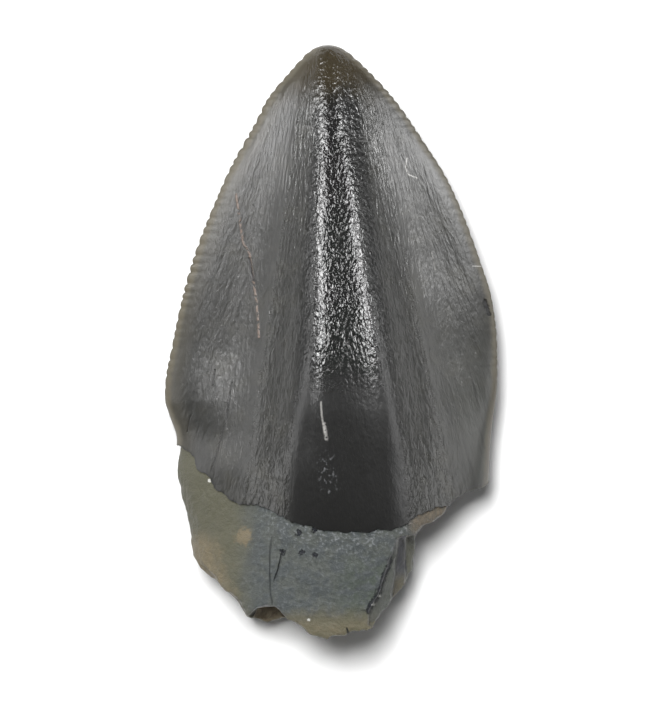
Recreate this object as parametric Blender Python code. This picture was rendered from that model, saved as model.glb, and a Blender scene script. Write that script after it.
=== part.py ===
# Fossil phytosaur tooth: a broad, serrated crown with part of its broken root.
#
# The tooth lies on its back, as it was photographed from above. +Y runs from the root to the
# tip, +X is to the right and +Z is up, towards the viewer. Lengths in this file are written in
# millimetres and turned into metres where a mesh is made. The origin is under the middle of the
# tooth, on the surface it lies on, and the tip is at y = TOOTH_LENGTH / 2.
#
# The crown and the root are lofted through cross-sections, because their sections change all
# the way and their edges carry the serrations. The breaks, the worn flat on the back, the pulp
# cavity and the cracks are then cut from them.

import math

import bmesh
import bpy
import numpy as np

MM = 0.001

# Driving dimensions
TOOTH_LENGTH = 22.0
TIP_X = -0.12  # the tip is a little left of the middle
DENTICLE_PITCH = 0.36  # measured along the edge
DENTICLE_HEIGHT = 0.08
SERRATION_START = 0.45  # distance along the edge from the tip to the first denticle
SERRATION_END = 13.2  # distance below the tip where the cutting edges end
ENAMEL_STEP = 0.14  # how far the root lies inside the crown's surface
BACK_ENAMEL_STEP = 0.04  # the same at the back, where the enamel is worn down
FRONT_PARTS = 22  # facets across the front of a section
BACK_PARTS = 14  # and across its back
CROWN_LOFT_END = 18.6  # the lofts run past the breaks that trim them
ROOT_LOFT_START = 14.2
ROOT_LOFT_END = 22.8
OVAL_POWER = 0.6  # how round the sections are at their edges
BACK_RIDGE_RATIO = 1.3  # the back's ridge is this much wider than the front's
PLAIN_ROW_PITCH = 0.46  # section spacing where the edges have no denticles
TIP_ROWS = (0.02, 0.07, 0.16)  # sections of the rounded tip, as distances below it

# Each profile is a list of (distance below the tip, value) knots on a smooth curve.
LEFT_REACH = [
    (0, 0.2), (0.1, 0.44), (0.4, 0.8), (1, 1.36), (2.1, 2.24), (2.85, 2.6), (5, 3.77), (8, 4.94),
    (11, 5.7), (13.2, 6.04), (13.7, 5.9), (14.7, 5.6), (15.8, 5.74), (16.6, 5.6), (18, 5.27),
    (20, 5.1), (23, 4.9),
]  # fmt: skip
RIGHT_REACH = [
    (0, 0.2), (0.1, 0.44), (0.4, 0.84), (1, 1.46), (2.1, 2.44), (3.6, 3.5), (5, 4.38), (8, 5.6),
    (9.5, 6.06), (11, 6.24), (12.5, 6.26), (14.7, 6.02), (17, 5.9), (20, 5.5), (23, 5.1),
]  # fmt: skip
EDGE_HEIGHT = [(0, 0.38), (2, 0.95), (6, 1.75), (10, 2.25), (14, 2.5), (18, 2.65), (23, 2.7)]
FRONT_HEIGHT = [(0, 0.5), (0.25, 0.84), (1, 1.3), (2, 1.78), (6, 3.32), (10, 4.66), (12, 5.2),
                (14, 5.54), (18, 5.8), (23, 5.5)]  # fmt: skip
BACK_HEIGHT = [(0, 0.26), (0.3, 0.02), (2, 0.2), (6, 0.5), (10, 0.6), (14, 0.3), (17, -0.18),
               (19, -0.3), (21, -0.26), (23, 0)]  # fmt: skip
RIDGE_X = [(0, -0.12), (6, 0.15), (12, 0.45), (18, 0.45), (23, 0.1)]
RIDGE_HALF_WIDTH = [(0, 0.5), (2, 1.1), (6, 1.95), (12, 2.45), (18, 2.9), (23, 3.2)]
ROUNDNESS = [(0, 0.6), (2, 0.35), (8, 0.22), (13, 0.3), (17, 0.6), (20, 0.85), (23, 0.9)]

# The lower border of the enamel on the front, and the crown's broken right corner, as (x, y)
ENAMEL_BORDER = [
    (-5.7, -3.9), (-5.2, -4.2), (-4.9, -4.8), (-4.6, -5.0), (-4.15, -5.6), (-3.4, -6.1),
    (-2.8, -6.05), (-1.7, -6.45), (-1.4, -6.75), (-0.35, -7.0), (1.15, -7.1), (2.3, -6.95),
    (2.85, -6.7), (3.15, -6.48), (3.9, -6.12), (4.46, -6.12), (4.7, -5.88), (5.2, -5.62),
    (5.65, -5.39), (6.2, -5.15),
]  # fmt: skip

# The root's broken end: the left and lower border of its front and of its back, its right
# border at three levels, and where that ends under the crown's corner at every level
LEFT_BREAK = [(-5.6, -7.8), (-5.0, -8.12), (-4.6, -8.55), (-4.17, -8.93), (-3.8, -9.27),
              (-3.42, -9.6), (-3.18, -10.0)]  # fmt: skip
NOTCH = [(-3.05, -10.2), (-2.85, -9.98), (-2.55, -9.86), (-2.2, -9.85), (-1.95, -9.95),
         (-1.75, -10.2)]  # fmt: skip
LOWER_BREAK = [(-1.25, -10.5), (-0.65, -10.95), (-0.1, -11.0), (0.05, -10.86), (1.3, -10.76),
               (1.53, -10.63)]  # fmt: skip
BACK_END = [(-5.7, -7.7), (-5.03, -8.16), (-4.67, -8.55), (-4.28, -8.92), (-3.96, -9.25),
            (-3.55, -9.63), (-3.2, -10.05), (-3.05, -10.28), (-2.4, -10.43), (-1.75, -10.28),
            (-0.4, -10.7)]  # fmt: skip
FRONT_WALL_BREAK = [(1.46, -10.1), (1.38, -9.98), (1.8, -9.25), (1.95, -8.7), (2.18, -8.15),
                    (2.44, -7.25), (2.7, -7.08), (3.0, -7.1)]  # fmt: skip
MIDDLE_BREAK = [(1.8, -10.35), (1.85, -10.0), (2.3, -9.4), (2.55, -8.2), (2.7, -7.2)]
BACK_BREAK = [(1.2, -10.5), (1.94, -9.9), (2.8, -9.0), (3.05, -8.4), (3.12, -7.9), (3.15, -7.3)]
CORNER_BREAK = [(3.2, -7.12), (3.4, -6.88), (3.75, -6.76), (4.07, -6.5), (4.3, -6.2), (4.1, -5.6),
                (4.1, -2.0)]  # fmt: skip
MIDDLE_LEVEL = 3.1  # heights where one level of the break gives way to the next
FRONT_LEVEL = 4.4
LEVEL_OVERLAP = 0.05  # each level's cutter reaches this far into the one above
OUTER = 9.0  # cutters reach at least this far past the tooth

# The pulp cavity: a flattened hollow cone, open at the root's broken end
CAVITY_X = -0.85
CAVITY_Z = 2.85
CAVITY_HALF_WIDTH = 2.5
CAVITY_HALF_HEIGHT = 1.45
CAVITY_MOUTH_Y = -11.6
CAVITY_APEX_Y = -4.2
CAVITY_SIDES = 28

# Two cracks run up the front of the root from the notch
LONG_CRACK = [(-2.16, -9.8), (-2.24, -9.3), (-2.27, -8.6), (-2.29, -7.3)]
SHORT_CRACK = [(-2.1, -8.9), (-1.95, -8.4), (-1.77, -7.7)]
CRACK_WIDTH = 0.09
CRACK_FLOOR = 5.02  # height of the cracks' bottoms

ROOT_COLOUR = (0.12, 0.125, 0.115)


def smooth_curve(knots, at):
    """Read a curve without overshoot through the knots, a monotone cubic, at each place."""
    x, y = np.array(knots, dtype=float).T
    gap = np.diff(x)
    slope = np.diff(y) / gap
    tangent = np.zeros(len(x))
    rising = slope[:-1] * slope[1:] > 0
    before = 2 * gap[1:] + gap[:-1]
    after = gap[1:] + 2 * gap[:-1]
    inner = tangent[1:-1]
    inner[rising] = (before + after)[rising] / (
        before[rising] / slope[:-1][rising] + after[rising] / slope[1:][rising]
    )
    tangent[0] = slope[0]
    tangent[-1] = slope[-1]
    piece = np.clip(np.searchsorted(x, at) - 1, 0, len(gap) - 1)
    t = (at - x[piece]) / gap[piece]
    start = y[piece] * (1 + 2 * t) * (1 - t) ** 2 + gap[piece] * tangent[piece] * t * (1 - t) ** 2
    end = y[piece + 1] * t**2 * (3 - 2 * t) + gap[piece] * tangent[piece + 1] * t**2 * (t - 1)
    return start + end


def section(down, denticle, inset):
    """The ring of points around the tooth at one distance below the tip, from the left edge."""
    half = (smooth_curve(LEFT_REACH, down) + smooth_curve(RIGHT_REACH, down)) / 2 - inset
    middle = TIP_X + (smooth_curve(RIGHT_REACH, down) - smooth_curve(LEFT_REACH, down)) / 2
    edge = smooth_curve(EDGE_HEIGHT, down)
    ridge_x = smooth_curve(RIDGE_X, down)
    spread = smooth_curve(RIDGE_HALF_WIDTH, down)
    roundness = smooth_curve(ROUNDNESS, down)
    front = smooth_curve(FRONT_HEIGHT, down) - edge - inset
    back = edge - smooth_curve(BACK_HEIGHT, down) - min(inset, BACK_ENAMEL_STEP)
    y = TOOTH_LENGTH / 2 - down

    def height(across, spread):
        """How full the section is at a place across it, from 0 at its edges to 1."""
        ridge = 1 / (1 + abs((middle + half * across - ridge_x) / spread) ** 3)
        return (1 - across**2) ** OVAL_POWER * (roundness + (1 - roundness) * ridge)

    ring = []
    for part in range(FRONT_PARTS):
        across = -math.cos(math.pi * part / FRONT_PARTS)
        ring.append([middle + half * across, y, edge + front * height(across, spread)])
    for part in range(BACK_PARTS):
        across = math.cos(math.pi * part / BACK_PARTS)
        fullness = height(across, BACK_RIDGE_RATIO * spread)
        ring.append([middle + half * across, y, edge - back * fullness])
    ring[0][0] -= denticle
    ring[FRONT_PARTS][0] += denticle
    return ring


def crown_rows():
    """Places of the crown's sections, two for each denticle, each with its denticle's reach."""
    rows = [(down, 0.0) for down in TIP_ROWS]
    fine = np.linspace(TIP_ROWS[-1], SERRATION_END, 2000)
    reach = smooth_curve(LEFT_REACH, fine)
    along = np.append(0, np.cumsum(np.hypot(np.diff(fine), np.diff(reach))))
    count = int((along[-1] - SERRATION_START) / DENTICLE_PITCH)
    for half in range(2 * count + 1):
        down = float(np.interp(SERRATION_START + half * DENTICLE_PITCH / 2, along, fine))
        rows.append((down, DENTICLE_HEIGHT if half % 2 else 0.0))
    down = rows[-1][0] + PLAIN_ROW_PITCH
    while down < CROWN_LOFT_END:
        rows.append((down, 0.0))
        down += PLAIN_ROW_PITCH
    return rows


def root_rows():
    """Places of the root's sections, evenly spaced."""
    count = round((ROOT_LOFT_END - ROOT_LOFT_START) / PLAIN_ROW_PITCH)
    return [(float(down), 0.0) for down in np.linspace(ROOT_LOFT_START, ROOT_LOFT_END, count)]


def add_object(name, bm, collection):
    """Turn a bmesh in millimetres into an object in metres."""
    bmesh.ops.recalc_face_normals(bm, faces=bm.faces)
    bmesh.ops.scale(bm, vec=(MM, MM, MM), verts=bm.verts)
    mesh = bpy.data.meshes.new(name)
    bm.to_mesh(mesh)
    bm.free()
    item = bpy.data.objects.new(name, mesh)
    collection.objects.link(item)
    return item


def loft(name, rows, inset, collection):
    """A closed solid through the sections at the given rows."""
    bm = bmesh.new()
    rings = []
    for down, denticle in rows:
        rings.append([bm.verts.new(point) for point in section(down, denticle, inset)])
    for upper, lower in zip(rings, rings[1:]):
        for here in range(len(upper)):
            beside = (here + 1) % len(upper)
            bm.faces.new((upper[here], upper[beside], lower[beside], lower[here]))
    bm.faces.new(rings[0])
    bm.faces.new(rings[-1])
    return add_object(name, bm, collection)


def prism(name, outline, low, high, collection):
    """An upright prism on an outline of (x, y) points, between two heights."""
    bm = bmesh.new()
    floor = bm.faces.new([bm.verts.new((x, y, low)) for x, y in outline])
    grown = bmesh.ops.extrude_face_region(bm, geom=[floor])["geom"]
    top = [item for item in grown if isinstance(item, bmesh.types.BMVert)]
    bmesh.ops.translate(bm, vec=(0, 0, high - low), verts=top)
    return add_object(name, bm, collection)


def blade(name, route, collection):
    """A thin upright cutter along a crack, pointed at its upper end."""
    half = CRACK_WIDTH / 2
    left = [(x - half, y) for x, y in route[:-1]]
    right = [(x + half, y) for x, y in reversed(route[:-1])]
    return prism(name, left + [route[-1]] + right, CRACK_FLOOR, OUTER, collection)


def cavity_cone(collection):
    """The pulp cavity's cone, lying along Y with its mouth below the root's broken end."""
    bm = bmesh.new()
    depth = CAVITY_APEX_Y - CAVITY_MOUTH_Y
    bmesh.ops.create_cone(
        bm, cap_ends=True, segments=CAVITY_SIDES, radius1=1, radius2=0.12, depth=depth
    )
    for vert in bm.verts:
        x, up, along = vert.co
        vert.co = (
            CAVITY_X + CAVITY_HALF_WIDTH * x,
            CAVITY_MOUTH_Y + depth / 2 + along,
            CAVITY_Z + CAVITY_HALF_HEIGHT * up,
        )
    return add_object("cavity_cone", bm, collection)


def combine(base, operation, other):
    """Apply a Boolean to an object's mesh at once."""
    step = base.modifiers.new(other.name, "BOOLEAN")
    step.operation = operation
    step.object = other
    step.solver = "EXACT"
    depsgraph = bpy.context.evaluated_depsgraph_get()
    old = base.data
    base.data = bpy.data.meshes.new_from_object(base.evaluated_get(depsgraph))
    base.modifiers.clear()
    bpy.data.meshes.remove(old)


def material(name, colour, roughness):
    finish = bpy.data.materials.new(name)
    finish.use_nodes = True
    shader = finish.node_tree.nodes["Principled BSDF"]
    shader.inputs["Base Color"].default_value = (*colour, 1)
    shader.inputs["Roughness"].default_value = roughness
    shader.inputs["Metallic"].default_value = 0
    return finish


def new_collection(name):
    collection = bpy.data.collections.new(name)
    bpy.context.scene.collection.children.link(collection)
    return collection


def below(border):
    """The outline of all that lies below a border that runs from left to right."""
    left_end = (-OUTER, border[0][1])
    right_end = (OUTER, border[-1][1])
    return [left_end] + border + [right_end, (OUTER, -2 * OUTER), (-OUTER, -2 * OUTER)]


def make_crown(cutters):
    crown = loft("crown", crown_rows(), 0, cutters)
    trim = prism("below_enamel", below(ENAMEL_BORDER), -OUTER, OUTER, cutters)
    combine(crown, "DIFFERENCE", trim)
    return crown


def make_root(cutters):
    root = loft("root", root_rows(), ENAMEL_STEP, cutters)
    front_end = LEFT_BREAK + NOTCH + LOWER_BREAK
    levels = [
        ("front_break", front_end + FRONT_WALL_BREAK, FRONT_LEVEL, OUTER),
        ("middle_break", front_end + MIDDLE_BREAK, MIDDLE_LEVEL, FRONT_LEVEL),
        ("back_break", BACK_END + BACK_BREAK, -OUTER, MIDDLE_LEVEL),
    ]
    for name, border, low, high in levels:
        cutter = prism(name, below(border + CORNER_BREAK), low, high + LEVEL_OVERLAP, cutters)
        combine(root, "DIFFERENCE", cutter)
    return root


def make_tooth(parts, cutters):
    tooth = make_crown(cutters)
    combine(tooth, "UNION", make_root(cutters))
    combine(tooth, "DIFFERENCE", cavity_cone(cutters))
    combine(tooth, "DIFFERENCE", blade("long_crack", LONG_CRACK, cutters))
    combine(tooth, "DIFFERENCE", blade("short_crack", SHORT_CRACK, cutters))
    square = [(-OUTER, -2 * OUTER), (OUTER, -2 * OUTER), (OUTER, 2 * OUTER), (-OUTER, 2 * OUTER)]
    combine(tooth, "DIFFERENCE", prism("worn_flat", square, -OUTER, 0, cutters))
    tooth.name = "tooth"
    tooth.data.name = "tooth"
    cutters.objects.unlink(tooth)
    parts.objects.link(tooth)
    tooth.data.materials.clear()
    tooth.data.materials.append(material("fossil", ROOT_COLOUR, 0.4))
    return tooth


def main():
    for item in list(bpy.data.objects):
        bpy.data.objects.remove(item, do_unlink=True)
    parts = new_collection("phytosaur_tooth")
    cutters = new_collection("cutters")
    make_tooth(parts, cutters)
    for cutter in cutters.objects:
        cutter.hide_render = True
        cutter.display_type = "WIRE"


main()
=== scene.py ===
# A fossil phytosaur tooth lying on a white table: its enamel, its broken root, light and camera.
import math

import bpy
import numpy as np
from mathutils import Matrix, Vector, noise


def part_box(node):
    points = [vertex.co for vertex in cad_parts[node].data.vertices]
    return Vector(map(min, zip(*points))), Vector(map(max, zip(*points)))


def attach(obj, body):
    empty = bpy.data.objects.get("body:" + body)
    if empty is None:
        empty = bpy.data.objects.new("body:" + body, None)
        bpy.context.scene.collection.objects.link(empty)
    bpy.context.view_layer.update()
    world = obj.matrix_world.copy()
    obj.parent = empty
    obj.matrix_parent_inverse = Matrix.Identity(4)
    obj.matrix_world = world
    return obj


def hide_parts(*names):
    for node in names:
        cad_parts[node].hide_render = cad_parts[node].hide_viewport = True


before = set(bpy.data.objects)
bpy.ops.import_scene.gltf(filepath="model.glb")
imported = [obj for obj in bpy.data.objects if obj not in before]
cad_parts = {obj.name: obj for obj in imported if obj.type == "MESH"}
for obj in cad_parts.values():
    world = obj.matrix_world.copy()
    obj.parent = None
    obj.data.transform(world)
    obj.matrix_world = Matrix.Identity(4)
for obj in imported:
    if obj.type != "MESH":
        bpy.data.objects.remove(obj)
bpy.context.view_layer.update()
mm = 0.001  # everything is modelled at one unit to the millimetre and made small at the end
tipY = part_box("tooth")[1].y / mm

# The crown's and the root's shape, in millimetres. A profile is a list of knots on a smooth
# curve: (distance below the tip, value).
toothForm = {
    "tipX": -0.12,
    "leftReach": [(0, 0), (0.02, 0.2), (0.05, 0.31), (0.1, 0.44), (0.4, 0.8), (1, 1.36), (2.1, 2.24),
                  (2.85, 2.6), (5, 3.77), (8, 4.94), (11, 5.7), (13.2, 6.04), (13.7, 5.9),
                  (14.7, 5.6), (15.8, 5.74), (16.6, 5.6), (18, 5.27), (20, 5.1), (23, 4.9)],
    "rightReach": [(0, 0), (0.02, 0.2), (0.05, 0.31), (0.1, 0.44), (0.4, 0.84), (1, 1.46), (2.1, 2.44),
                   (3.6, 3.5), (5, 4.38), (8, 5.6), (9.5, 6.06), (11, 6.24), (12.5, 6.26),
                   (14.7, 6.02), (17, 5.9), (20, 5.5), (23, 5.1)],
    "edgeHeight": [(0, 0.38), (2, 0.95), (6, 1.75), (10, 2.25), (14, 2.5), (18, 2.65), (23, 2.7)],
    "frontHeight": [(0, 0.38), (0.04, 0.58), (0.25, 0.84), (1, 1.3), (2, 1.78), (6, 3.32), (10, 4.66),
                    (12, 5.2), (14, 5.54), (18, 5.8), (23, 5.5)],
    "backHeight": [(0, 0.38), (0.04, 0.22), (0.3, 0.02), (2, 0.2), (6, 0.5), (10, 0.6), (14, 0.3),
                   (17, -0.18), (19, -0.3), (21, -0.26), (23, 0)],
    "ridgeX": [(0, -0.12), (3, 0.0), (6, 0.2), (8, 0.3), (10.3, 0.5), (13, 0.6), (18, 0.5), (23, 0.1)],
    "ridgeHalfWidth": [(0, 0.5), (2, 1.0), (4.3, 1.35), (6, 1.65), (8, 1.88), (10.3, 2.2), (13, 2.55),
                       (16, 2.85), (18, 2.9), (23, 3.1)],
    "ridgePower": [(0, 2.5), (3, 2.8), (6, 3.5), (9, 4), (12, 4.5), (15, 5.5), (23, 5)],
    "roundness": [(0, 0.6), (2, 0.35), (8, 0.22), (11, 0.27), (13, 0.38), (16, 0.66), (20, 0.85), (23, 0.9)],
    "ovalPower": 0.6,
    "backRidgeRatio": 1.3,
    "enamelStep": 0.14,  # the root lies this far inside the enamel's surface
    "backEnamelStep": 0.04,
}

# Where the enamel ends on the front, and where the root is broken off, as (x, y)
borders = {
    "enamel": [(-5.7, -3.9), (-5.2, -4.2), (-4.9, -4.8), (-4.6, -5.0), (-4.15, -5.6), (-3.4, -6.1),
               (-2.8, -6.05), (-1.7, -6.45), (-1.4, -6.75), (-0.35, -7.0), (1.15, -7.1),
               (2.3, -6.95), (2.85, -6.7), (3.15, -6.48), (3.9, -6.12), (4.46, -6.12),
               (4.7, -5.88), (5.2, -5.62), (5.65, -5.39), (6.2, -5.15)],
    "leftBreak": [(-5.6, -7.8), (-5.0, -8.12), (-4.6, -8.55), (-4.17, -8.93), (-3.8, -9.27),
                  (-3.42, -9.6), (-3.18, -10.0)],
    "notch": [(-3.05, -10.2), (-2.85, -9.98), (-2.55, -9.86), (-2.2, -9.85), (-1.95, -9.95),
              (-1.75, -10.2)],
    "lowerBreak": [(-1.25, -10.5), (-0.65, -10.95), (-0.1, -11.0), (0.05, -10.86), (1.3, -10.76),
                   (1.53, -10.63)],
    "backEnd": [(-5.7, -7.7), (-5.03, -8.16), (-4.67, -8.55), (-4.28, -8.92), (-3.96, -9.25),
                (-3.55, -9.63), (-3.2, -10.05), (-3.05, -10.28), (-2.4, -10.43), (-1.75, -10.28),
                (-0.4, -10.7)],
    "rightBreak": [(1.94, -9.9), (2.4, -9.42), (2.8, -9.0), (3.05, -8.4), (3.12, -7.9), (3.15, -7.3)],
    "frontLedge": [(1.38, -10.6), (1.38, -9.98), (1.53, -9.72), (1.75, -9.39), (1.84, -9.05),
                   (1.94, -8.68), (2.12, -8.39), (2.2, -8.13), (2.4, -7.3)],
    "middleLedge": [(2.05, -10.6), (2.24, -9.4), (2.32, -8.76), (2.38, -8.2), (2.5, -7.25)],
    "backLedge": [(2.5, -10.6), (2.62, -9.4), (2.8, -8.79), (2.72, -8.13), (2.72, -7.25)],
    "corner": [(3.2, -7.12), (3.4, -6.88), (3.75, -6.76), (4.07, -6.5), (4.3, -6.2), (4.1, -5.6),
               (4.1, -2.0)],
}


def smoothCurve(knots, at):
    # reads a monotone cubic through the knots, so that nothing overshoots
    x, y = np.array(knots, dtype=float).T
    at = np.clip(at, x[0], x[-1])
    gap = np.diff(x)
    slope = np.diff(y) / gap
    tangent = np.zeros(len(x))
    rising = slope[:-1] * slope[1:] > 0
    before = 2 * gap[1:] + gap[:-1]
    after = gap[1:] + 2 * gap[:-1]
    inner = tangent[1:-1]
    inner[rising] = (before + after)[rising] / (
        before[rising] / slope[:-1][rising] + after[rising] / slope[1:][rising]
    )
    tangent[0] = slope[0]
    tangent[-1] = slope[-1]
    piece = np.clip(np.searchsorted(x, at) - 1, 0, len(gap) - 1)
    t = (at - x[piece]) / gap[piece]
    start = y[piece] * (1 + 2 * t) * (1 - t) ** 2 + gap[piece] * tangent[piece] * t * (1 - t) ** 2
    end = y[piece + 1] * t**2 * (3 - 2 * t) + gap[piece] * tangent[piece + 1] * t**2 * (t - 1)
    return start + end


def reachOf(side, down):
    return smoothCurve(toothForm[side], down)


def select(item):
    bpy.ops.object.select_all(action="DESELECT")
    item.select_set(True)
    bpy.context.view_layer.objects.active = item


def readPoints(item):
    points = np.empty(len(item.data.vertices) * 3)
    item.data.vertices.foreach_get("co", points)
    return points.reshape(-1, 3)


def movePoints(item, points):
    item.data.vertices.foreach_set("co", points.ravel())
    item.data.update()


def bump(points, size, seed, stretch=(1, 1, 1)):
    # smooth noise from about -1 to 1 at each point, with bumps of the given size
    offset = Vector((seed * 3.7, seed * -1.9, seed * 5.3))
    scale = Vector(stretch) / size
    return np.array([noise.noise(Vector(p) * scale + offset) for p in points.tolist()]) * 1.6


def sway(place, seed):
    # the same value each run, which noise_vector doesn't give: its noise starts from the clock
    return noise.noise(Vector((place, seed, 0.5)))


def ragged(line, step, amount, seed):
    # the same line with more points, each moved a little, as a break runs
    line = np.array(line, dtype=float)
    length = np.append(0, np.cumsum(np.hypot(*np.diff(line, axis=0).T)))
    count = max(int(length[-1] / step), 2)
    at = np.linspace(0, length[-1], count + 1)
    x = np.interp(at, length, line[:, 0])
    y = np.interp(at, length, line[:, 1])
    points = []
    for place, px, py in zip(at, x, y):
        across, along = (
            sway(place / 0.5, seed + row) + 0.7 * sway(place / 0.16, seed + row + 9) for row in (0, 50)
        )
        points.append((px + amount * across, py + amount * along))
    return points


def finishSlots(item, slot):
    for finish in finishes:
        item.data.materials.append(finish)
    item.data.polygons.foreach_set("material_index", [slot] * len(item.data.polygons))


def applyStep(item, kind, **settings):
    select(item)
    step = item.modifiers.new(kind.lower(), kind)
    for name, value in settings.items():
        setattr(step, name, value)
    bpy.ops.object.modifier_apply(modifier=step.name)


def combine(item, operation, other):
    # the exact solver now and then loses the whole of two meshes as dense as the crown and the root
    applyStep(item, "BOOLEAN", operation=operation, object=other, solver="MANIFOLD")
    bpy.data.objects.remove(other)
    if not item.data.polygons:
        raise RuntimeError(operation.lower() + " left nothing of " + item.name)


def blockFrom(outline, low, high, slot):
    # an upright block on an outline of (x, y) points
    bpy.ops.object.select_all(action="DESELECT")
    bpy.ops.mesh.primitive_circle_add(vertices=len(outline), radius=1, fill_type="NGON")
    block = bpy.context.object
    for vert, (x, y) in zip(block.data.vertices, outline):
        vert.co = (x, y, low)
    bpy.ops.object.mode_set(mode="EDIT")
    bpy.ops.mesh.select_all(action="SELECT")
    bpy.ops.mesh.extrude_region_move(TRANSFORM_OT_translate={"value": (0, 0, high - low)})
    bpy.ops.mesh.select_all(action="SELECT")
    bpy.ops.mesh.normals_make_consistent(inside=False)
    bpy.ops.object.mode_set(mode="OBJECT")
    finishSlots(block, slot)
    return block


def under(border):
    # all that lies below a border which runs from left to right
    far = 9.0
    start = (-far, border[0][1])
    end = (far, border[-1][1])
    return [start] + list(border) + [end, (far, -2 * far), (-far, -2 * far)]


enamelEdge = ragged(borders["enamel"], 0.045, 0.1, 4)

# The outline's serrations: their size and where they run, in millimetres along the edge
serrations = {
    "pitch": 0.36,
    "leftHeight": 0.085,
    "rightHeight": [(0, 0.075), (5, 0.065), (9, 0.035), (14, 0.025), (20, 0)],
    "start": 0.45,
    "endDown": 13.2,
    "reachIn": 0.13,
    "grooveDepth": 0.022,
    "grooveLength": 0.22,
}


def denticles(side, down):
    # how far the cutting edge stands out at each place, and how deep the valleys are there
    fine = np.linspace(0, 14.5, 4000)
    reach = reachOf(side, fine)
    along = np.append(0, np.cumsum(np.hypot(np.diff(fine), np.diff(reach))))
    place = np.interp(down, fine, along)
    steady = (place - serrations["start"]) / serrations["pitch"]
    uneven = steady + 0.16 * np.sin(steady * 1.7) + 0.1 * np.sin(steady * 0.61 + 1)
    number = np.floor(uneven)
    within = uneven - number
    tall = 0.78 + 0.22 * np.sin(number * 12.9898 + (3 if side == "leftReach" else 5))
    crest = (1 - np.abs(2 * within - 1) ** 2.4) * tall
    if side == "leftReach":
        height = serrations["leftHeight"] * np.ones_like(place)
    else:
        height = smoothCurve(serrations["rightHeight"], place)
    fadeIn = np.clip((place - serrations["start"]) / 0.5, 0, 1)
    fadeOut = np.clip((serrations["endDown"] - down) / 1.2, 0, 1)
    live = fadeIn * fadeOut
    return crest * height * live, (1 - crest) * live * height / serrations["leftHeight"]


def rolledSheet(downs, frontParts, backParts, inset):
    # a flat grid, one row of points for each section, rolled round the tooth
    columns = frontParts + backParts + 1
    rows = len(downs)
    bpy.ops.object.select_all(action="DESELECT")
    bpy.ops.mesh.primitive_grid_add(x_subdivisions=columns - 1, y_subdivisions=rows - 1, size=2)
    sheet = bpy.context.object
    flat = readPoints(sheet)
    column = np.rint((flat[:, 0] + 1) / 2 * (columns - 1)).astype(int)
    row = np.rint((flat[:, 1] + 1) / 2 * (rows - 1)).astype(int)
    onFront = column <= frontParts
    angle = np.where(onFront, column / frontParts, (column - frontParts) / backParts) * math.pi
    across = np.where(onFront, -np.cos(angle), np.cos(angle))
    down = np.array(downs)[row]

    left = reachOf("leftReach", down)
    right = reachOf("rightReach", down)
    half = np.maximum((left + right) / 2 - inset, 0)
    middle = toothForm["tipX"] + (right - left) / 2
    edge = smoothCurve(toothForm["edgeHeight"], down)
    ridgeX = smoothCurve(toothForm["ridgeX"], down)
    spread = smoothCurve(toothForm["ridgeHalfWidth"], down)
    roundness = smoothCurve(toothForm["roundness"], down)
    x = middle + half * across
    wide = np.where(onFront, 1, toothForm["backRidgeRatio"]) * spread
    power = smoothCurve(toothForm["ridgePower"], down)
    ridge = 1 / (1 + np.abs((x - ridgeX) / wide) ** power)
    full = np.clip(1 - across**2, 0, 1) ** toothForm["ovalPower"]
    full = full * (roundness + (1 - roundness) * ridge)
    front = smoothCurve(toothForm["frontHeight"], down) - edge - inset
    back = edge - smoothCurve(toothForm["backHeight"], down) - min(inset, toothForm["backEnamelStep"])
    z = np.where(onFront, edge + front * full, edge - back * full)
    y = tipY - down
    points = np.column_stack([x, y, z])
    return sheet, points, down, across, half, onFront


def closeSheet(sheet, slot):
    # the rolled grid's seam is merged and its open ends are filled
    select(sheet)
    bpy.ops.object.mode_set(mode="EDIT")
    bpy.ops.mesh.select_all(action="SELECT")
    bpy.ops.mesh.remove_doubles(threshold=0.0004)
    bpy.ops.mesh.select_all(action="DESELECT")
    bpy.ops.mesh.select_mode(type="EDGE")
    bpy.ops.mesh.select_non_manifold()
    bpy.ops.mesh.edge_face_add()
    bpy.ops.mesh.select_all(action="SELECT")
    bpy.ops.mesh.normals_make_consistent(inside=False)
    bpy.ops.mesh.select_mode(type="VERT")
    bpy.ops.object.mode_set(mode="OBJECT")
    finishSlots(sheet, slot)


# The crown's mesh and the low relief of its enamel
crownSkin = {
    "frontParts": 150,
    "backParts": 66,
    "serratedRow": 0.064,  # spacing of the rows along the cutting edge
    "plainRow": 0.1,
    "end": 18.6,
    "wrinkleDepth": 0.004,
    "wrinkleSize": 0.3,
    "swellDepth": 0.012,
    "swellSize": 1.3,
}


def crownRows():
    fine = np.linspace(0.12, serrations["endDown"], 4000)
    reach = reachOf("leftReach", fine)
    along = np.append(0, np.cumsum(np.hypot(np.diff(fine), np.diff(reach))))
    count = int(along[-1] / crownSkin["serratedRow"])
    serrated = np.interp(np.linspace(0, along[-1], count), along, fine)
    plainCount = int((crownSkin["end"] - serrations["endDown"]) / crownSkin["plainRow"])
    plain = np.linspace(serrations["endDown"], crownSkin["end"], plainCount + 1)[1:]
    tip = [0, 0.006, 0.02, 0.045, 0.08]
    return tip + list(serrated) + list(plain)


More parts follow.
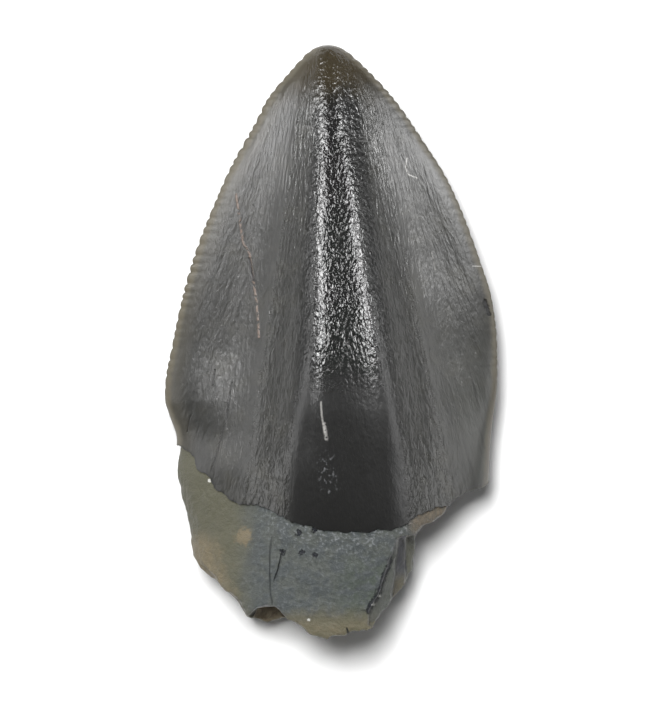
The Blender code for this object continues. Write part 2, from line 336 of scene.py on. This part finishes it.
def makeCrown():
    sheet, points, down, across, half, onFront = rolledSheet(
        crownRows(), crownSkin["frontParts"], crownSkin["backParts"], 0
    )
    fromEdge = half * (1 - np.abs(across))
    isLeft = across < 0
    for side, here, sign in (("leftReach", isLeft, -1), ("rightReach", ~isLeft, 1)):
        crest, valley = denticles(side, down)
        rise = (reachOf(side, down + 0.05) - reachOf(side, down - 0.05)) / 0.1
        lean = np.hypot(1, rise)
        pull = here * crest * np.exp(-((fromEdge / serrations["reachIn"]) ** 2))
        points[:, 0] += sign * pull / lean
        points[:, 1] += pull * rise / lean
        groove = here * valley * np.exp(-fromEdge / serrations["grooveLength"])
        groove *= serrations["grooveDepth"] * np.clip(fromEdge / 0.03, 0, 1)
        points[:, 2] += np.where(onFront, -1, 1) * groove
    fan = np.column_stack([points[:, 0] * 18 / (down + 6), down, points[:, 2]])
    edgeFade = np.clip(fromEdge / 0.4, 0, 1) * np.clip(down / 0.6, 0, 1)
    relief = crownSkin["wrinkleDepth"] * bump(fan, crownSkin["wrinkleSize"], 1, (1, 0.22, 1))
    relief += crownSkin["swellDepth"] * bump(fan, crownSkin["swellSize"], 2, (1, 0.3, 1))
    points[:, 2] += np.where(onFront, 1, -1) * relief * edgeFade
    movePoints(sheet, points)
    closeSheet(sheet, 0)
    combine(sheet, "DIFFERENCE", blockFrom(under(enamelEdge), -9, 9, 1))
    print("crown shaped:", len(sheet.data.polygons), "faces")
    return sheet


# The root's mesh, its breaks and its weathered surface
rootSkin = {
    "start": 14.2,
    "end": 22.8,
    "rows": 60,
    "frontParts": 90,
    "backParts": 60,
    "voxel": 0.08,
    "backLevel": 3.1,  # the front and the back are broken along different lines
    "ledges": [("frontLedge", 4.85, 0.75), ("middleLedge", 4.2, 1.5), ("backLedge", 3.35, 0.7)],
    "ledgeTurn": 20.7,  # the ledges' lines lean this many degrees to the right of +Y
    "lumpDepth": 0.03,
    "pitDepth": 0.018,
}


def ledgeBlock(line, height, slope, seed):
    # all that lies right of a line and above a plane that falls away to the right
    edge = ragged(line, 0.12, 0.06, seed)
    far = 5.0
    block = blockFrom(edge + [(far, edge[-1][1]), (far, edge[0][1])], 0, 9, 1)
    points = readPoints(block)
    turn = math.radians(rootSkin["ledgeTurn"])
    across = points[:, 0] * math.cos(turn) - points[:, 1] * math.sin(turn)
    start = min(across[: len(edge)])
    floor = np.maximum(height - slope * (across - start), 1.0)
    points[:, 2] = np.where(points[:, 2] < 1, floor, points[:, 2])
    movePoints(block, points)
    return block


def makeRoot():
    downs = np.linspace(rootSkin["start"], rootSkin["end"], rootSkin["rows"])
    root, points, *rest = rolledSheet(
        downs, rootSkin["frontParts"], rootSkin["backParts"], toothForm["enamelStep"]
    )
    movePoints(root, points)
    closeSheet(root, 1)
    frontEnd = borders["leftBreak"] + borders["notch"] + borders["lowerBreak"]
    halves = [
        (frontEnd, rootSkin["backLevel"], 9),
        (borders["backEnd"], -9, rootSkin["backLevel"] + 0.05),
    ]
    for number, (border, low, high) in enumerate(halves):
        line = ragged(border + borders["rightBreak"] + borders["corner"], 0.1, 0.09, 20 + number)
        combine(root, "DIFFERENCE", blockFrom(under(line), low, high, 1))
    for number, (name, height, slope) in enumerate(rootSkin["ledges"]):
        combine(root, "DIFFERENCE", ledgeBlock(borders[name], height, slope, 30 + number))
    applyStep(root, "REMESH", mode="VOXEL", voxel_size=rootSkin["voxel"])
    points = readPoints(root)
    normals = np.empty(len(points) * 3)
    root.data.vertices.foreach_get("normal", normals)
    normals = normals.reshape(-1, 3)
    lumps = rootSkin["lumpDepth"] * bump(points, 0.55, 5)
    pits = rootSkin["pitDepth"] * bump(points, 0.17, 6)
    shown = np.clip((-4.4 - points[:, 1]) / 1.2, 0, 1)
    amount = (lumps + pits) * shown - 0.02
    movePoints(root, points + normals * amount[:, None])
    finishSlots(root, 1)
    print("root shaped:", len(root.data.polygons), "faces")
    return root


# The pulp cavity, a flattened hollow cone with its mouth in the root's broken end
cavity = {
    "x": -0.85,
    "z": 2.85,
    "halfWidth": 2.5,
    "halfHeight": 1.45,
    "mouthY": -11.6,
    "apexY": -4.2,
}


def makeCavity():
    depth = cavity["apexY"] - cavity["mouthY"]
    bpy.ops.object.select_all(action="DESELECT")
    bpy.ops.mesh.primitive_cone_add(
        vertices=72, radius1=1, radius2=0.12, depth=depth, end_fill_type="NGON"
    )
    cone = bpy.context.object
    bpy.ops.object.mode_set(mode="EDIT")
    bpy.ops.mesh.select_all(action="SELECT")
    bpy.ops.mesh.bisect(plane_co=(0, 0, 0), plane_no=(0, 0, 1))
    for cut in range(1, 24):
        bpy.ops.mesh.select_all(action="SELECT")
        height = depth * (cut / 24 - 0.5) + 0.001
        bpy.ops.mesh.bisect(plane_co=(0, 0, height), plane_no=(0, 0, 1))
    bpy.ops.object.mode_set(mode="OBJECT")
    local = readPoints(cone)
    points = np.column_stack([
        cavity["x"] + cavity["halfWidth"] * local[:, 0],
        (cavity["apexY"] + cavity["mouthY"]) / 2 + local[:, 2],
        cavity["z"] - cavity["halfHeight"] * local[:, 1],
    ])
    wobble = bump(points, 0.7, 7) * 0.05 + bump(points, 0.25, 8) * 0.02
    outward = np.column_stack([local[:, 0], np.zeros(len(local)), -local[:, 1]])
    movePoints(cone, points + outward * wobble[:, None])
    finishSlots(cone, 2)
    return cone


# Two cracks that run up the front of the root from the notch
cracks = {
    "routes": [
        [(-2.16, -9.8), (-2.2, -9.5), (-2.24, -9.3), (-2.27, -8.6), (-2.25, -8.1), (-2.29, -7.3)],
        [(-2.1, -8.9), (-1.95, -8.4), (-1.9, -8.05), (-1.77, -7.7)],
    ],
    "width": 0.075,
    "floor": 5.0,
}


def makeCrack(route, seed):
    half = cracks["width"] / 2
    line = ragged(route, 0.12, 0.03, seed)
    widths = np.linspace(1, 0.25, len(line)) * half
    left = [(x - wide, y) for (x, y), wide in zip(line, widths)]
    right = [(x + wide, y) for (x, y), wide in zip(line, widths)]
    return blockFrom(left + right[::-1], cracks["floor"], 9, 1)


def makeTooth():
    tooth = makeCrown()
    combine(tooth, "UNION", makeRoot())
    print("crown and root joined")
    combine(tooth, "DIFFERENCE", makeCavity())
    for number, route in enumerate(cracks["routes"]):
        combine(tooth, "DIFFERENCE", makeCrack(route, 40 + number))
    points = readPoints(tooth)
    points[:, 2] = np.maximum(points[:, 2], 0)  # the back is worn flat where it rests
    movePoints(tooth, points)
    tooth.name = "tooth_surface"
    tooth.data.name = "tooth_surface"
    select(tooth)
    bpy.ops.object.mode_set(mode="EDIT")
    bpy.ops.mesh.select_all(action="SELECT")
    bpy.ops.transform.resize(value=(mm, mm, mm), center_override=(0, 0, 0))
    bpy.ops.object.mode_set(mode="OBJECT")
    bpy.ops.object.shade_smooth_by_angle(angle=math.radians(38))
    return tooth


def distanceTo(line, points):
    # distance in the x-y plane from each point to a line of (x, y) points
    line = np.array(line, dtype=float)
    best = np.full(len(points), 1e9)
    for a, b in zip(line, line[1:]):
        ab = b - a
        t = np.clip(((points[:, :2] - a) @ ab) / (ab @ ab), 0, 1)
        away = np.hypot(*(points[:, :2] - a - t[:, None] * ab).T)
        best = np.minimum(best, away)
    return best


def rightOf(line, points):
    # how far each point lies to the right of a line that runs up the picture
    line = np.array(sorted(line, key=lambda place: place[1]))
    return points[:, 0] - np.interp(points[:, 1], line[:, 1], line[:, 0])


def ledgeNumber(points):
    # 0 on the root's front, and 1, 2 and 3 on the three ledges beside it
    number = np.zeros(len(points))
    low = (points[:, 1] < -7.2) & (points[:, 1] > -10.4) & (points[:, 2] > 2.2)
    for name in ("frontLedge", "middleLedge", "backLedge"):
        number += low & (rightOf(borders[name], points) > 0.03)
    return number


def storeGuides(tooth):
    # values that the finishes read: where a point lies along, across and from the borders
    points = readPoints(tooth) / mm
    down = tipY - points[:, 1]
    fromTip = points[:, 0] - toothForm["tipX"]
    rim = np.where(fromTip < 0, reachOf("leftReach", down) + fromTip, reachOf("rightReach", down) - fromTip)
    guides = {
        "lane": points[:, 0] * 18 / (down + 6),
        "down": down,
        "rim": rim,
        "line": distanceTo(enamelEdge, points),
        "ledge": ledgeNumber(points),
    }
    for name, values in guides.items():
        guide = tooth.data.attributes.new(name, "FLOAT", "POINT")
        guide.data.foreach_set("value", values.astype(np.float32))


class Wire:
    # one value in a shader tree; sums and products of wires add the nodes that make them
    def __init__(self, tree, socket):
        self.tree = tree
        self.socket = socket

    def math(self, operation, *others):
        node = self.tree.nodes.new("ShaderNodeMath")
        node.operation = operation
        for place, item in enumerate((self, *others)):
            plug(self.tree, node.inputs[place], item)
        return Wire(self.tree, node.outputs[0])

    def __add__(self, other):
        return self.math("ADD", other)

    __radd__ = __add__

    def __sub__(self, other):
        return self.math("SUBTRACT", other)

    def __rsub__(self, other):
        return self.math("MULTIPLY_ADD", -1, other)

    def __mul__(self, other):
        return self.math("MULTIPLY", other)

    __rmul__ = __mul__

    def __truediv__(self, other):
        return self.math("DIVIDE", other)

    def __pow__(self, other):
        return self.math("POWER", other)

    def __abs__(self):
        return self.math("ABSOLUTE")

    def most(self, other):
        return self.math("MAXIMUM", other)

    def least(self, other):
        return self.math("MINIMUM", other)

    def step(self, low, high):
        # rises smoothly from 0 at low to 1 at high, or falls if high is the smaller
        node = self.tree.nodes.new("ShaderNodeMapRange")
        node.interpolation_type = "SMOOTHSTEP"
        turned = low > high
        plug(self.tree, node.inputs["Value"], self)
        node.inputs["From Min"].default_value = min(low, high)
        node.inputs["From Max"].default_value = max(low, high)
        node.inputs["To Min"].default_value = 1 if turned else 0
        node.inputs["To Max"].default_value = 0 if turned else 1
        return Wire(self.tree, node.outputs[0])


def plug(tree, socket, item):
    if isinstance(item, Wire):
        tree.links.new(item.socket, socket)
    elif isinstance(item, (tuple, list)) and socket.type == "RGBA":
        socket.default_value = (*item, 1) if len(item) == 3 else item
    else:
        socket.default_value = item


class Finish:
    # a material and its node tree
    def __init__(self, name):
        self.material = bpy.data.materials.new(name)
        self.material.use_nodes = True
        self.tree = self.material.node_tree
        self.shader = self.tree.nodes["Principled BSDF"]
        place = self.node("ShaderNodeTexCoord", {}, {}, "Object")
        self.place = self.node("ShaderNodeVectorMath", {"operation": "SCALE"}, {0: place, "Scale": 1 / mm}, 0)
        apart = self.tree.nodes.new("ShaderNodeSeparateXYZ")
        plug(self.tree, apart.inputs[0], self.place)
        self.x, self.y, self.z = (Wire(self.tree, socket) for socket in apart.outputs)

    def node(self, kind, settings, sockets, output):
        node = self.tree.nodes.new(kind)
        for name, value in settings.items():
            setattr(node, name, value)
        for name, item in sockets.items():
            plug(self.tree, node.inputs[name], item)
        return Wire(self.tree, node.outputs[output])

    def guide(self, name):
        return self.node("ShaderNodeAttribute", {"attribute_name": name}, {}, "Fac")

    def join(self, x, y, z):
        return self.node("ShaderNodeCombineXYZ", {}, {"X": x, "Y": y, "Z": z}, 0)

    def cloud(self, vector, size, detail=2.0, rough=0.5, twist=0.0):
        sockets = {"Vector": vector, "Scale": 1 / size, "Detail": detail, "Roughness": rough,
                   "Distortion": twist}
        return self.node("ShaderNodeTexNoise", {}, sockets, "Fac")

    def mix(self, mask, low, high):
        return self.node("ShaderNodeMix", {"data_type": "RGBA"}, {0: mask, 6: low, 7: high}, 2)

    def along(self, route, width, wobble=None):
        # a mask that is 1 on a line of (x, y) points and falls to 0 at its width
        best = None
        flat = self.join(self.x, self.y, 0.0)
        for (ax, ay), (bx, by) in zip(route, route[1:]):
            span = (bx - ax, by - ay, 0)
            square = span[0] ** 2 + span[1] ** 2
            fromA = self.node("ShaderNodeVectorMath", {"operation": "SUBTRACT"}, {0: flat, 1: (ax, ay, 0)}, 0)
            dot = self.node("ShaderNodeVectorMath", {"operation": "DOT_PRODUCT"}, {0: fromA, 1: span}, 1)
            part = (dot / square).most(0.0).least(1.0)
            foot = self.node("ShaderNodeVectorMath", {"operation": "SCALE"}, {0: span, "Scale": part}, 0)
            away = self.node("ShaderNodeVectorMath", {"operation": "DISTANCE"}, {0: fromA, 1: foot}, 1)
            best = away if best is None else best.least(away)
        if wobble is not None:
            best = best + wobble
        return best.step(width, width * 0.25)

    def near(self, place, width, wobble=0.0):
        # a mask that is 1 round a place and falls to 0 at its width
        flat = self.join(self.x, self.y, 0.0)
        away = self.node("ShaderNodeVectorMath", {"operation": "DISTANCE"}, {0: flat, 1: (*place, 0)}, 1)
        return (away + wobble).step(width, width * 0.5)

    def set(self, name, item):
        plug(self.tree, self.shader.inputs[name], item)

    def relief(self, height):
        # height is in millimetres
        normal = self.node("ShaderNodeBump", {}, {"Strength": 1.0, "Distance": mm, "Height": height}, 0)
        self.set("Normal", normal)


# Polished enamel: nearly black on the ridge, greyer and duller on the flanges, tan at the rim. The flanges' grey
# is partly the enamel's own tone and partly painted sheen, standing in for the bright light their slopes mirror.
# The marks are lines of (x, y) points in millimetres.
enamelLook = {
    # ridge and flange colours: partly the enamel's own tone, partly painted reflection, with the flanges greyed
    # for the sheen they catch
    "ridge": (0.0075, 0.0075, 0.0072),
    "flange": (0.019, 0.019, 0.017),
    "dark": (0.012, 0.012, 0.011),
    "olive": (0.04, 0.038, 0.028),
    "lowerRight": (0.04, 0.041, 0.037),
    "rim": (0.085, 0.074, 0.05),
    "tip": (0.034, 0.026, 0.013),
    "ridgeRoughness": 0.15,
    "flangeRoughness": 0.32,
    "peelDepth": 0.03,
    "wrinkleDepth": 0.03,
    "darkLines": [[(-4.31, -1.12), (-4.38, -1.68)], [(-3.68, -1.6), (-3.88, -2.9), (-4.42, -4.83)],
                  [(-5.2, -2.8), (-5.32, -3.4)]],
    "paleCrack": [(-3.53, 5.4), (-3.36, 4.2), (-3.27, 3.6), (-3.03, 3.2), (-2.9, 2.25), (-2.78, 1.5),
                  (-2.7, 0.6), (-2.68, 0.1)],
    "crackHole": [(-3.03, 3.0), (-2.97, 2.55), (-2.88, 2.2)],
    "whiteLines": [([(2.81, 6.74), (2.75, 6.4), (2.84, 6.14), (3.18, 6.0)], 0.032, 0.8),
                   ([(5.25, 2.73), (5.6, 2.72)], 0.03, 0.7),
                   ([(3.73, 3.25), (3.85, 2.59)], 0.04, 0.25),
                   ([(-0.38, -2.3), (-0.35, -2.8), (-0.24, -3.4)], 0.06, 0.5),
                   ([(-0.26, -3.1), (-0.18, -3.66)], 0.1, 0.5)],
    "sparkles": [(-0.2, -4.4), (-0.1, -5.4)],
    "pit": [(5.7, 1.4), (5.85, 0.95)],
}


def polishedEnamel():
    look = enamelLook
    skin = Finish("polishedEnamel")
    lane = skin.guide("lane")
    down = skin.guide("down")
    rim = skin.guide("rim")
    flow = skin.join(lane, down * 0.25, skin.z * 0.2)
    wrinkle = skin.cloud(flow, 0.14, 2.5, 0.55, 0.5)
    peel = skin.cloud(skin.join(skin.x, skin.y * 0.62, skin.z), 0.125, 2.0, 0.5, 0.4)
    streak = skin.cloud(skin.join(lane, down * 0.05, 0.0), 0.12, 3.0, 0.6)
    mottle = skin.cloud(skin.place, 0.9, 4.0, 0.6)
    dust = skin.cloud(skin.place, 0.14, 3.0, 0.65)
    jitter = (dust - 0.5) * 0.12

    fromRidge = abs(lane - 0.5)
    flange = fromRidge.step(1.45, 2.2)
    band = flange * fromRidge.step(3.6, 2.4)
    lowRidge = down.step(11.0, 13.5) * (1 - flange)
    # partly painted sheen: the ridge is made near-black and the flanges grey to stand in for how much bright light
    # each mirrors
    colour = skin.mix(flange, look["ridge"], look["flange"])
    lowRight = lane.step(3.2, 5.0) * down.step(9, 14)
    colour = skin.mix(lowRight, colour, look["lowerRight"])
    colour = skin.mix(streak.step(0.5, 0.66) * flange * 0.55, colour, look["dark"])
    colour = skin.mix(mottle.step(0.45, 0.75) * flange * 0.35, colour, look["olive"])
    tip = (down + (mottle - 0.5) * 2).step(2.6, 0.8)
    colour = skin.mix(tip * 0.9, colour, look["tip"])
    rimPlace = rim + (mottle - 0.5) * 0.25 + jitter
    leftRim = lane.step(0.0, -2.0)
    rimMask = rimPlace.step(0.3, 0.06) * 0.75 + rimPlace.step(0.9, 0.2) * 0.25 * leftRim
    colour = skin.mix(rimMask, colour, look["rim"])

    darkLines = None
    for route in look["darkLines"]:
        mask = skin.along(route, 0.045, jitter * 0.5)
        darkLines = mask if darkLines is None else darkLines.most(mask)
    # painted shade: the dark line along the enamel's lower edge on the left stands in for the shade under the
    # enamel's step; the darkLines are the enamel's own dark lines
    border = skin.guide("line").step(0.09, 0.02) * lane.step(-1.0, -2.5)
    colour = skin.mix(darkLines.most(border) * 0.5, colour, (0.004, 0.004, 0.004))
    crack = skin.along(look["paleCrack"], 0.07, jitter * 1.2) * dust.step(0.4, 0.55)
    colour = skin.mix(crack * 0.75, colour, (0.2, 0.145, 0.115))
    hole = skin.along(look["crackHole"], 0.07, jitter * 0.4)
    colour = skin.mix(hole, colour, (0.004, 0.003, 0.003))
    for route, width, strength in look["whiteLines"]:
        mask = skin.along(route, width, jitter * width * 14)
        colour = skin.mix(mask * dust.step(0.36, 0.52) * strength, colour, (0.4, 0.39, 0.37))
    patch = skin.along(look["sparkles"], 0.38) ** 0.5
    speckle = patch * (dust + (peel - 0.5) * 0.4).step(0.56, 0.66)
    colour = skin.mix(speckle * 0.35, colour, (0.25, 0.26, 0.27))
    pit = skin.along(look["pit"], 0.12, jitter * 1.5)
    colour = skin.mix(pit, colour, (0.003, 0.003, 0.003))

    skin.set("Base Color", colour)
    rough = look["ridgeRoughness"] + (look["flangeRoughness"] - look["ridgeRoughness"]) * flange
    rough = rough + lowRidge * 0.16 + (dust - 0.5) * 0.1 + rimMask * 0.15 - band * 0.1
    skin.set("Roughness", rough)
    skin.set("IOR", 1.6)
    wrinkled = (0.25 + flange * 0.35 + band * 0.9) * rim.step(0.1, 0.8)
    height = (wrinkle - 0.5) * look["wrinkleDepth"] * wrinkled
    height = height + (peel - 0.5) * look["peelDepth"] * (1 - flange * 0.8) * (1 - lowRidge * 0.75)
    height = height - (darkLines + hole) * 0.02 + crack * 0.008 - pit * 0.05
    skin.relief(height)
    return skin.material


# The root: weathered blue-grey dentine with tan and olive stains, pits and worn ledges, and painted shade in its
# cracks, along the gap beside the ledges and on one ledge
rootLook = {
    "grey": (0.062, 0.068, 0.062),
    "blue": (0.052, 0.059, 0.06),
    "green": (0.045, 0.056, 0.045),
    "olive": (0.085, 0.08, 0.048),
    "tan": (0.17, 0.135, 0.082),
    "pale": (0.17, 0.18, 0.185),
    "cornerTan": (0.11, 0.082, 0.05),
    # one dark colour for the root's own specks and for painted shade in its cracks and in the gap beside the
    # ledges
    "speckAndCrackShade": (0.006, 0.007, 0.011),
    "specksAndCrackShade": [(-1.19, -7.12), (-1.79, -7.83), (-1.08, -7.83), (-0.58, -7.94), (-0.6, -7.0)],
    "tanSpot": (-3.2, -7.25),
    "cracks": [[(-2.2, -7.3), (-2.27, -8.0), (-2.27, -8.6), (-2.24, -9.3), (-2.16, -9.75)],
               [(-1.77, -7.75), (-1.92, -8.35), (-2.07, -8.8)]],
    "whiteChips": [(-4.5, -5.2), (1.77, -9.44), (1.55, -9.74), (-0.82, -10.32)],
    # gapLine: painted shadow in the gap along the front wall's broken edge
    "gapLine": [(2.17, -8.1), (2.1, -8.4), (1.93, -8.68), (1.82, -9.05), (1.72, -9.4), (1.5, -9.7), (1.36, -10.0)],
    "lowerCrack": [(0.58, -10.62), (0.62, -10.8), (1.32, -10.76)],
    "roughness": 0.55,
}


def weatheredRoot():
    look = rootLook
    bone = Finish("weatheredRoot")
    x, y = bone.x, bone.y
    wide = bone.cloud(bone.place, 1.9, 3.0, 0.55)
    medium = bone.cloud(bone.place, 0.5, 4.0, 0.6)
    grain = bone.cloud(bone.place, 0.13, 3.0, 0.7)
    fibre = bone.cloud(bone.join(x, y * 0.25, bone.z), 0.16, 3.0, 0.6)
    line = bone.guide("line")
    ledge = bone.guide("ledge")
    jitter = (grain - 0.5) * 0.25

    colour = bone.mix(medium.step(0.4, 0.62), look["grey"], look["blue"])
    rightGreen = x.step(-0.3, 1.0) * y.step(-7.6, -8.6)
    colour = bone.mix(rightGreen * medium.step(0.62, 0.42) * 0.8, colour, look["green"])
    nearEnamel = line.step(1.3, 0.0) * x.step(-3.0, -2.2)
    flecks = grain.step(0.5, 0.7) * (0.25 + nearEnamel * 0.65)
    colour = bone.mix(flecks, colour, look["pale"])
    darker = grain.step(0.47, 0.3) * 0.55
    colour = bone.mix(darker, colour, (0.03, 0.033, 0.033))

    left = (x + (wide - 0.5) * 1.5).step(-2.5, -3.8)
    low = (y + (medium - 0.5) * 0.8).step(-9.7, -10.6)
    colour = bone.mix(left.most(low) * 0.75, colour, look["olive"])
    farLeft = (x + y * 0.35 + (medium - 0.5) * 1.4).step(-6.5, -7.4) * y.step(-6.9, -7.6)
    lowTan = low * (0.45 + (medium - 0.5) * 1.5).most(0.0)
    colour = bone.mix(farLeft.most(lowTan) * (0.55 + (grain - 0.5) * 1.2), colour, look["tan"])
    spot = bone.near(look["tanSpot"], 0.38, (medium - 0.5) * 1.0 + jitter)
    colour = bone.mix(spot * 0.7, colour, look["tan"])
    corner = x.step(2.6, 3.2) * y.step(-7.3, -6.95)
    colour = bone.mix(corner * (0.6 + (grain - 0.5) * 1.6), colour, look["cornerTan"])

    facet = ledge.step(0.4, 0.6)
    colour = bone.mix(facet * 0.75, colour, (0.075, 0.078, 0.07))
    # painted shade: the dark blue-grey strip on the second ledge stands in for the shade beside the drop between
    # the ledges
    dark = ledge.step(1.4, 1.6) * ledge.step(2.6, 2.4) * y.step(-9.0, -8.3)
    colour = bone.mix(dark * 0.85, colour, (0.04, 0.04, 0.048))
    lens = ledge.step(2.4, 2.6)
    colour = bone.mix(lens * 0.7, colour, (0.09, 0.09, 0.068))
    tail = ledge.step(1.4, 1.6) * y.step(-8.5, -9.1)
    colour = bone.mix(tail * 0.7, colour, (0.1, 0.085, 0.05))
    colour = bone.mix(facet * fibre.step(0.5, 0.68) * 0.4, colour, (0.04, 0.04, 0.03))

    # painted shade: the dark gap line and the darkened cracks stand in for the shade in the gap and in the cut
    # cracks; the listed places are the root's own dark specks
    specksAndCrackShade = bone.along(look["gapLine"], 0.12, jitter * 1.2)
    specksAndCrackShade = specksAndCrackShade.most(bone.along(look["lowerCrack"], 0.04, jitter * 0.2))
    for route in look["cracks"]:
        specksAndCrackShade = specksAndCrackShade.most(bone.along(route, 0.04, jitter * 0.2) * 0.4)
    for place in look["specksAndCrackShade"]:
        specksAndCrackShade = specksAndCrackShade.most(bone.near(place, 0.12, jitter * 1.6))
    colour = bone.mix(specksAndCrackShade * 0.9, colour, look["speckAndCrackShade"])
    chips = None
    for place in look["whiteChips"]:
        chip = bone.near(place, 0.075, jitter * 0.8)
        chips = chip if chips is None else chips.most(chip)
    colour = bone.mix(chips * 0.85, colour, (0.5, 0.5, 0.47))

    bone.set("Base Color", colour)
    bone.set("Roughness", look["roughness"] + (grain - 0.5) * 0.2)
    height = (medium - 0.5) * 0.08 + (grain - 0.5) * 0.05 + (fibre - 0.5) * facet * 0.05
    bone.relief(height - specksAndCrackShade * 0.05)
    return bone.material


def cavityStain():
    hollow = Finish("cavityStain")
    grain = hollow.cloud(hollow.place, 0.3, 4.0, 0.6)
    colour = hollow.mix(grain.step(0.35, 0.65), (0.1, 0.08, 0.05), (0.19, 0.16, 0.11))
    hollow.set("Base Color", colour)
    hollow.set("Roughness", 0.85)
    hollow.relief((grain - 0.5) * 0.1)
    return hollow.material


finishes = [polishedEnamel(), weatheredRoot(), cavityStain()]
tooth = makeTooth()
storeGuides(tooth)
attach(tooth, "root")
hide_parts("tooth")
print("tooth finished:", len(tooth.data.polygons), "faces")

# A white table that curves up into a wall all round
studio = {
    "tableRadius": 0.8,
    "wallHeight": 0.5,
    "curve": 0.25,
    "tableColour": (0.86, 0.86, 0.86),
    "worldLight": 0.1,
}


def makeTable():
    bpy.ops.object.select_all(action="DESELECT")
    bpy.ops.mesh.primitive_circle_add(vertices=96, radius=studio["tableRadius"], fill_type="NGON")
    table = bpy.context.object
    table.name = "table"
    bpy.ops.object.mode_set(mode="EDIT")
    bpy.ops.mesh.select_all(action="SELECT")
    bpy.ops.mesh.region_to_loop()
    bpy.ops.mesh.extrude_edges_move(TRANSFORM_OT_translate={"value": (0, 0, studio["wallHeight"])})
    bpy.ops.mesh.select_all(action="DESELECT")
    bpy.ops.object.mode_set(mode="OBJECT")
    for edge in table.data.edges:
        edge.select = all(abs(table.data.vertices[v].co.z) < 1e-6 for v in edge.vertices)
    bpy.ops.object.mode_set(mode="EDIT")
    bpy.ops.mesh.select_mode(type="EDGE")
    bpy.ops.mesh.bevel(offset=studio["curve"], segments=12, affect="EDGES")
    bpy.ops.object.mode_set(mode="OBJECT")
    bpy.ops.object.shade_smooth()
    paint = Finish("tablePaint")
    paint.set("Base Color", studio["tableColour"])
    paint.set("Roughness", 0.9)
    table.data.materials.append(paint.material)


# Soft lights, each given by the way to it from the tooth: degrees from +Y and above the table.
# The window casts the shadow, and the others are what the enamel mirrors.
lamps = {
    "window": {"turn": -28, "rise": 77, "away": 0.42, "size": (0.12, 0.12), "watts": 2.8},
    "leftStrip": {"turn": -34, "rise": 45, "away": 0.42, "size": (0.075, 0.165), "watts": 0.8},
    "rightStrip": {"turn": 36, "rise": 45, "away": 0.42, "size": (0.075, 0.165), "watts": 0.75},
    "leftCard": {"turn": -70, "rise": 27, "away": 0.5, "size": (0.3, 0.16), "watts": 0.4},
    "rightCard": {"turn": 70, "rise": 27, "away": 0.5, "size": (0.3, 0.16), "watts": 0.4},
}


def makeLamps():
    for name, lamp in lamps.items():
        turn = math.radians(lamp["turn"])
        rise = math.radians(lamp["rise"])
        way = Vector((math.sin(turn) * math.cos(rise), math.cos(turn) * math.cos(rise), math.sin(rise)))
        bpy.ops.object.light_add(type="AREA", location=way * lamp["away"])
        light = bpy.context.object
        light.name = name
        light.rotation_euler = way.to_track_quat("Z", "Y").to_euler()
        light.data.shape = "RECTANGLE"
        light.data.size, light.data.size_y = lamp["size"]
        light.data.energy = lamp["watts"]
        light.visible_camera = False
        light.visible_glossy = name != "window"
        light.visible_diffuse = name == "window"
    world = bpy.data.worlds.new("softRoom")
    world.use_nodes = True
    world.node_tree.nodes["Background"].inputs["Color"].default_value = (1, 1, 1, 1)
    world.node_tree.nodes["Background"].inputs["Strength"].default_value = studio["worldLight"]
    bpy.context.scene.world = world


# The photograph's framing: straight down on the tooth, through a long lens
view = {
    "pixels": (665, 702),
    "pixelsPerMm": 26.98,  # at the height of the tooth's middle
    "centre": (0.046, -0.417),
    "middleHeight": 2.3,
    "distance": 0.45,
    "sensor": 36.0,
}


def makeCamera():
    tall = view["pixels"][1] / view["pixelsPerMm"] * mm
    x, y = (value * mm for value in view["centre"])
    bpy.ops.object.camera_add(location=(x, y, view["middleHeight"] * mm + view["distance"]))
    camera = bpy.context.object
    camera.name = "camera"
    camera.data.sensor_width = view["sensor"]
    camera.data.lens = view["sensor"] * view["distance"] / tall
    camera.data.clip_start = 0.01
    camera.data.clip_end = 10
    bpy.context.scene.camera = camera
    bpy.context.scene.view_settings.view_transform = "Standard"


makeTable()
makeLamps()
makeCamera()
print("studio set")
